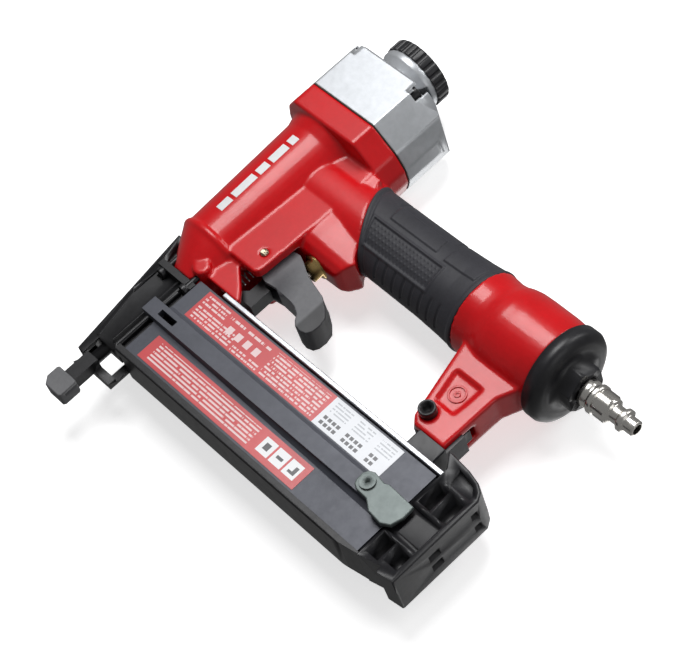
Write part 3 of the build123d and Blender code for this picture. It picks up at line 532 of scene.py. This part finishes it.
# ---------------------------------------------------------------------------
# rubber grip: one skin round the handle with raised and sunk panels
# ---------------------------------------------------------------------------
GRIP_LENGTH_STEPS = 260
GRIP_ROUND_STEPS = 420
GRIP_CENTRE_Z = 159.3
GRIP_FRONT_HALF_HEIGHT = 19.9
GRIP_REAR_X = 125.95
BORE_HALF_WIDTH = 13.83
BORE_HALF_HEIGHT = 17.33
# z, x of the slanted front end
GRIP_FRONT = [
    (130.0, 72.0), (135.6, 67.5), (139.6, 62.6), (149.0, 57.5),
    (162.0, 50.5), (170.0, 46.4), (182.0, 41.5),
]
# x, half width, half height
GRIP_SECTIONS = [
    (40, 16.6, 19.9), (70, 16.8, 19.9), (100, 17.2, 20.2), (114, 18.2, 20.9),
    (GRIP_REAR_X, 20.4, 21.8),
]


def interpolate(stations, place):
    """Values after the first column of a table, held level beyond its ends."""
    for before, after in zip(stations, stations[1:]):
        if place <= after[0]:
            part = max(0.0, (place - before[0]) / (after[0] - before[0]))
            return [low + (high - low) * part for low, high in zip(before[1:], after[1:])]
    return stations[-1][1:]


def step(value, start, end):
    part = min(1.0, max(0.0, (value - start) / (end - start)))
    return part * part * (3 - 2 * part)


def band(value, low, high, soft):
    """1 between low and high, easing to 0 over soft on both sides of each limit."""
    return step(value, low - soft, low + soft) * (1 - step(value, high - soft, high + soft))


def flank_relief(x, z):
    """Height of the panels on the two flanks."""
    # long, slanted panel and rear panel, both raised on the upper flank
    slant = 0.25 * (z - 165)
    height = 0.75 * band(x, 64 - slant, 95 - slant, 0.45) * band(z, 162.6, 171.6, 0.45)
    height += 0.75 * band(x, 101.5, 122.0, 0.45) * band(z, 161.6, 170.4, 0.45)

    # sunk field with a raised rim and small knobs, on the lower flank
    x0, x1 = 60.5 - 0.35 * (z - 152), 104.0
    z0, z1 = 146.6, 158.4
    rim_width = 1.2
    knob_pitch = 2.4
    field = band(x, x0, x1, 0.4) * band(z, z0, z1, 0.4)
    rim = (band(x, x0 - rim_width, x1 + rim_width, 0.4)
           * band(z, z0 - rim_width, z1 + rim_width, 0.4))
    height += 0.45 * rim - 1.0 * field
    if field > 0.5:
        height += (0.28 * max(0.0, sin(x * 2 * pi / knob_pitch))
                   * max(0.0, sin(z * 2 * pi / knob_pitch)))

    # cross grooves along the belly, one every 6 mm
    belly = step(146.0 - z, 0.0, 2.0) * band(x, 70, 119, 1.0)
    return height - 0.5 * belly * step(sin(x * 2 * pi / 6.0), 0.55, 0.9)


def grip_relief(x, z, front, side, half_width):
    """Height over the plain skin; side is 0 at top and bottom, 1 at mid flank."""
    height = flank_relief(x, z) if side > 0.12 else 0.0
    if z > 172.5:
        # two grooves across the top
        height -= 0.55 * band(x, 96.6, 99.4, 0.4) + 0.45 * band(x, 60.0, 62.0, 0.4)
    # front lip with a groove behind it, and rear lip
    from_front = x - front
    height += 0.55 * (1 - step(from_front, 1.6, 2.8)) - 0.35 * band(from_front, 2.8, 4.0, 0.4)
    height += 0.35 * step(x, 122.6, 124.0)
    # moulding seam along the middle of top and bottom
    height += 0.12 * (1 - step(side * half_width, 0.15, 0.45))
    # rounded ends: each drops by end_drop over end_length
    end_drop, end_length = 0.9, 0.8
    for distance in (from_front, GRIP_REAR_X - x):
        height -= end_drop * (1 - min(1.0, distance / end_length)) ** 2
    return height


def grip_skin():
    verts, bore_verts, faces = [], [], []
    for j in range(GRIP_ROUND_STEPS):
        angle = 2 * pi * j / GRIP_ROUND_STEPS
        front_z = GRIP_CENTRE_Z + GRIP_FRONT_HALF_HEIGHT * sin(angle)
        front = interpolate(GRIP_FRONT, front_z)[0] + 0.05
        for i in range(GRIP_LENGTH_STEPS + 1):
            x = front + (GRIP_REAR_X - front) * (i / GRIP_LENGTH_STEPS)
            half_width, half_height = interpolate(GRIP_SECTIONS, x)
            z = GRIP_CENTRE_Z + half_height * sin(angle)
            height = grip_relief(x, z, front, abs(cos(angle)), half_width)
            outward = Vector((0, cos(angle) / half_width, sin(angle) / half_height)).normalized()
            y = half_width * cos(angle) + height * outward.y
            verts.append((x * MM, y * MM, (z + height * outward.z) * MM))
        for x in (front, GRIP_REAR_X):
            bore_verts.append((x * MM, BORE_HALF_WIDTH * cos(angle) * MM,
                               (GRIP_CENTRE_Z + BORE_HALF_HEIGHT * sin(angle)) * MM))

    row = GRIP_LENGTH_STEPS + 1
    for j in range(GRIP_ROUND_STEPS):
        after = (j + 1) % GRIP_ROUND_STEPS
        here, there = j * row, after * row
        for i in range(GRIP_LENGTH_STEPS):
            faces.append((here + i, here + i + 1, there + i + 1, there + i))
        # front end, rear end and bore
        bore, next_bore = len(verts) + 2 * j, len(verts) + 2 * after
        faces.append((here, there, next_bore, bore))
        faces.append((there + row - 1, here + row - 1, bore + 1, next_bore + 1))
        faces.append((bore, next_bore, next_bore + 1, bore + 1))
    return solid("grip_rubber", verts + bore_verts, faces, angle=60.0)


adopt(grip_skin(), "grip_sleeve")

# ---------------------------------------------------------------------------
# plain printed bars on the -Y side of the column
# ---------------------------------------------------------------------------
# z, radius at the column's lower and upper ends
COLUMN_LOW = (101.5, 19.5)
COLUMN_HIGH = (176.7, 22.6)
BAR_ANGLES = (256.0, 269.0)  # degrees from +X towards +Y
BAR_LEVELS = [(114.0, 121.5), (123.5, 137.5), (139.5, 146.0), (148.0, 158.5), (160.5, 165.0)]
BAR_LIFT = 0.12
BAR_THICKNESS = 0.10
BAR_STEPS_ROUND = 14
BAR_STEPS_UP = 8


def column_radius(z):
    (z0, radius0), (z1, radius1) = COLUMN_LOW, COLUMN_HIGH
    return radius0 + (radius1 - radius0) * (z - z0) / (z1 - z0)


def printed_bar(name, z0, z1):
    """Thin film bent round the column: outer layer, inner layer and rim."""
    across, up = BAR_STEPS_ROUND, BAR_STEPS_UP
    start, end = BAR_ANGLES
    verts, faces = [], []
    for lift in (BAR_LIFT, BAR_LIFT - BAR_THICKNESS):
        for j in range(up + 1):
            z = z0 + (z1 - z0) * j / up
            radius = column_radius(z) + lift
            for i in range(across + 1):
                angle = radians(start + (end - start) * i / across)
                verts.append((radius * cos(angle) * MM, radius * sin(angle) * MM, z * MM))

    row = across + 1
    layer = row * (up + 1)
    for j in range(up):
        for i in range(across):
            low = j * row + i
            quad = (low, low + 1, low + row + 1, low + row)
            faces.append(quad)
            faces.append(tuple(layer + corner for corner in reversed(quad)))
    rim = list(range(row))
    rim += [(j + 1) * row - 1 for j in range(1, up + 1)]
    rim += [up * row + i for i in range(across - 1, -1, -1)]
    rim += [j * row for j in range(up - 1, 0, -1)]
    for here, there in zip(rim, rim[1:] + rim[:1]):
        faces.append((here, layer + here, layer + there, there))
    return solid(name, verts, faces, angle=40.0)


for index, (z0, z1) in enumerate(BAR_LEVELS):
    add_to_housing(printed_bar(f"print_bar_{index}", z0, z1), "print")

# ---------------------------------------------------------------------------
# two raised rings, one inside the other, on the -Y face of the leg
# ---------------------------------------------------------------------------
RING_X, RING_Z = 151.6, 119.2
RING_BASE_Y = -7.0
RING_CHAMFER = 0.12
RING_SIDES = 48
# name, outer radius, inner radius, y of the raised face
RINGS = [("leg_ring", 4.6, 3.5, -7.75), ("leg_dot", 1.7, 0.6, -7.65)]


def leg_ring(name, outer, inner, face_y):
    shoulder_y = face_y + RING_CHAMFER
    profile = [
        (inner, RING_BASE_Y), (inner, shoulder_y), (inner + RING_CHAMFER, face_y),
        (outer - RING_CHAMFER, face_y), (outer, shoulder_y), (outer, RING_BASE_Y),
    ]
    count = len(profile)
    verts, faces = [], []
    for side in range(RING_SIDES):
        angle = 2 * pi * side / RING_SIDES
        for radius, y in profile:
            verts.append(((RING_X + radius * cos(angle)) * MM, y * MM,
                          (RING_Z + radius * sin(angle)) * MM))
        here, there = side * count, (side + 1) % RING_SIDES * count
        for i in range(count):
            j = (i + 1) % count
            faces.append((here + i, here + j, there + j, there + i))
    return solid(name, verts, faces, angle=40.0)


for ring in RINGS:
    add_to_housing(leg_ring(*ring), "body_paint")


# ---------------------------------------------------------------------------
# floor: an upright plane just beyond the tool's +Y flank, seen by the camera only
# ---------------------------------------------------------------------------
FLOOR_GAP = 0.3
FLOOR_HALF_SIZE = 3000.0


def floor_material():
    """Pale, faintly glowing surface, clear when seen from behind."""
    mat = Shader("pale_floor")
    color = mat.mix(mat.ramp(mat.noise(6.0, detail=4.0), start=0.3, end=0.7),
                    (0.86, 0.86, 0.865), (0.89, 0.89, 0.893))
    mat.surface({
        "Base Color": color,
        "Roughness": mat.math("ADD", 0.55, mat.math("MULTIPLY", mat.noise(60.0), 0.2)),
        "Specular IOR Level": 0.2,
        "Normal": mat.bump(mat.noise(350.0, detail=4.0), depth_mm=0.02, strength=0.3),
        "Emission Color": (1.0, 1.0, 1.0), "Emission Strength": 0.62})
    backfacing = mat.node("ShaderNodeNewGeometry").outputs["Backfacing"]
    clear = mat.node("ShaderNodeBsdfTransparent").outputs[0]
    either = mat.node("ShaderNodeMixShader")
    mat.put_all(either, (backfacing, mat.principled.outputs[0], clear))
    mat.put(mat.output.inputs[0], either.outputs[0])
    return mat.material


def add_floor():
    mesh = bpy.data.meshes.new("floor")
    y = CAD_BOUNDS[1][1] + FLOOR_GAP * MM
    half = FLOOR_HALF_SIZE * MM
    corners = [(-half, y, -half), (half, y, -half), (half, y, half), (-half, y, half)]
    mesh.from_pydata(corners, [], [(0, 1, 2, 3)])
    floor = link_object("floor", mesh)
    dress(floor, floor_material())
    floor.visible_shadow = False
    floor.visible_diffuse = False
    floor.visible_glossy = False


add_floor()

# ---------------------------------------------------------------------------
# light and camera, in metres
# ---------------------------------------------------------------------------
WORLD_LIGHT = 0.20  # strength that lights the tool
WORLD_SEEN = 0.92   # strength the camera sees
LIGHT_TARGET = Vector((0.095, 0.0, 0.12))
# name, place, side of the square, power in watts
LIGHTS = [
    ("key_front", (-0.25, -1.15, 0.50), 0.7, 13.0),
    ("fill_top", (0.45, -0.55, 1.05), 0.5, 3.5),
    ("rim_rear", (1.25, -0.35, 0.35), 0.5, 1.2),
    ("back_soft", (0.20, 1.30, 0.40), 1.0, 5.0),
]
CAMERA_PLACE = (0.6522, -0.8706, -0.1469)
CAMERA_RIGHT = (0.659613, 0.22096, 0.718392)
CAMERA_UP = (-0.530057, -0.54089, 0.653053)
CAMERA_BACK = (0.53287, -0.811551, -0.239656)


def add_world():
    world = bpy.data.worlds.new("studio")
    world.use_nodes = True
    tree = world.node_tree
    background = tree.nodes["Background"]
    background.inputs["Color"].default_value = (1.0, 1.0, 1.0, 1.0)
    # holds if the link below is cut
    background.inputs["Strength"].default_value = WORLD_LIGHT
    path = tree.nodes.new("ShaderNodeLightPath")
    level = tree.nodes.new("ShaderNodeMapRange")
    level.inputs["To Min"].default_value = WORLD_LIGHT
    level.inputs["To Max"].default_value = WORLD_SEEN
    tree.links.new(path.outputs["Is Camera Ray"], level.inputs["Value"])
    tree.links.new(level.outputs[0], background.inputs["Strength"])
    scene.world = world


def add_light(name, place, side, power):
    data = bpy.data.lights.new(name, "AREA")
    data.shape = "RECTANGLE"
    data.size = side
    data.size_y = side
    data.energy = power
    light = link_object(name, data)
    light.location = place
    aim = LIGHT_TARGET - Vector(place)
    light.rotation_euler = aim.to_track_quat("-Z", "Y").to_euler()


def add_camera():
    data = bpy.data.cameras.new("camera")
    data.sensor_width = 36.0
    data.lens = 124.618
    data.clip_start = 0.02
    data.clip_end = 20.0
    camera = link_object("camera", data)
    pose = Matrix((CAMERA_RIGHT, CAMERA_UP, CAMERA_BACK)).transposed().to_4x4()
    pose.translation = CAMERA_PLACE
    camera.matrix_world = pose
    scene.camera = camera


add_world()
for light_spec in LIGHTS:
    add_light(*light_spec)
add_camera()
scene.view_settings.view_transform = "Standard"
scene.view_settings.look = "None"
